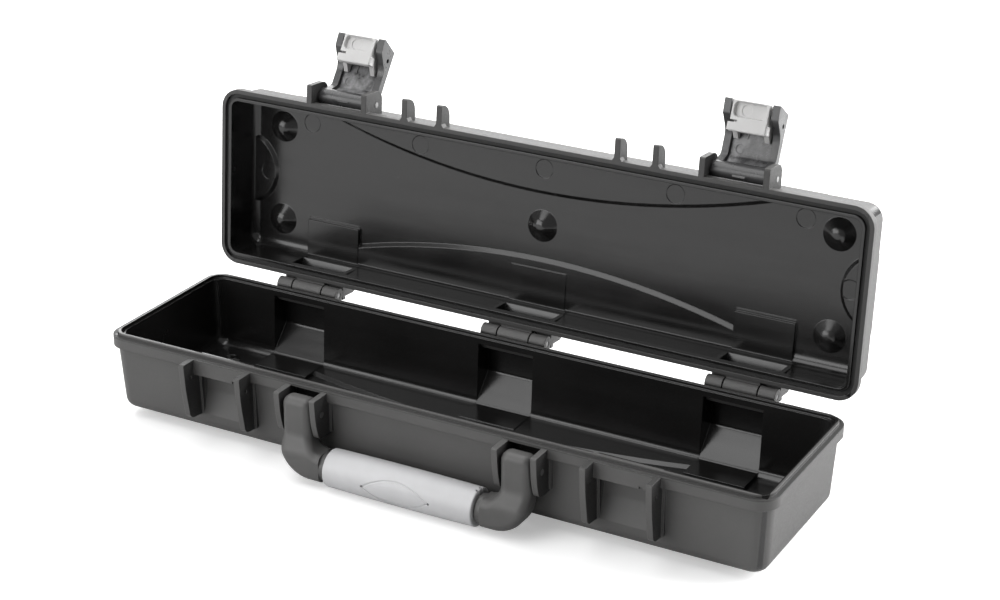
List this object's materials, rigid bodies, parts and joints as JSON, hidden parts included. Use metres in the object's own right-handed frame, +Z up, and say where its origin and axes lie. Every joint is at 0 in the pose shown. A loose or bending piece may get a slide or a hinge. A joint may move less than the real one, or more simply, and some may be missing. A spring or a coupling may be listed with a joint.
{
  "type": "hard tool case",
  "caption": "Long narrow hard tool case standing open, with a hinged lid, flip latches with sprung hooks, a seal and a swinging carry handle.",
  "frame": {"origin": "on the floor, under the centre of the middle foot", "axes": "+X along the case's length, +Y towards the hinges, +Z up; latches and handle are at -Y"},
  "size_m": [0.4, 0.1793, 0.1985],
  "materials": {
    "case_plastic": "fine moulded texture outside, smoother and glossier inside",
    "lever_plastic": "smooth satin",
    "pull_plastic": "smooth satin",
    "handle_plastic": "fine moulded texture",
    "grip_plastic": "smooth satin",
    "pin_metal": "drawn wire",
    "spring_steel": "drawn wire",
    "seal_rubber": "matte"
  },
  "bodies": {
    "base": {"base_shell": "case_plastic", "hinge_pin_left": "pin_metal", "hinge_pin_middle": "pin_metal", "hinge_pin_right": "pin_metal", "handle_pin_left": "pin_metal", "handle_pin_right": "pin_metal"},
    "lid": {"lid_shell": "case_plastic", "lid_seal": "seal_rubber", "latch_pin_left": "pin_metal", "latch_pin_right": "pin_metal"},
    "latch_left": {"latch_lever_left": "lever_plastic", "hook_pin_left": "pin_metal", "hook_spring_left": "spring_steel"},
    "hook_left": {"latch_hook_left": "pull_plastic"},
    "latch_right": {"latch_lever_right": "lever_plastic", "hook_pin_right": "pin_metal", "hook_spring_right": "spring_steel"},
    "hook_right": {"latch_hook_right": "pull_plastic"},
    "handle": {"handle_frame": "handle_plastic", "grip_sleeve": "grip_plastic"}
  },
  "joints": [
    {"name": "lid_hinge", "type": "hinge", "parent": "base", "child": "lid", "pos_m": [0, 0.05827, 0.0501], "axis": [1, 0, 0], "range_deg": [0, 95]},
    {"name": "latch_left_flip", "type": "hinge", "parent": "lid", "child": "latch_left", "pos_m": [-0.1218, 0.07964, 0.16243], "axis": [1, 0, 0], "range_deg": [0, 121]},
    {"name": "hook_left_release", "type": "hinge", "parent": "latch_left", "child": "hook_left", "pos_m": [-0.1218, 0.0992, 0.18221], "axis": [-1, 0, 0], "range_deg": [0, 12], "stiffness_Nm_per_rad": 0.02, "springref_deg": -20.05},
    {"name": "latch_right_flip", "type": "hinge", "parent": "lid", "child": "latch_right", "pos_m": [0.1218, 0.07964, 0.16243], "axis": [1, 0, 0], "range_deg": [-12.4, 108.6]},
    {"name": "hook_right_release", "type": "hinge", "parent": "latch_right", "child": "hook_right", "pos_m": [0.1218, 0.0945, 0.18595], "axis": [-1, 0, 0], "range_deg": [0, 12], "stiffness_Nm_per_rad": 0.02, "springref_deg": -20.05},
    {"name": "handle_swing", "type": "hinge", "parent": "base", "child": "handle", "pos_m": [0, -0.058, 0.0387], "axis": [-1, 0, 0], "range_deg": [0, 110]}
  ]
}
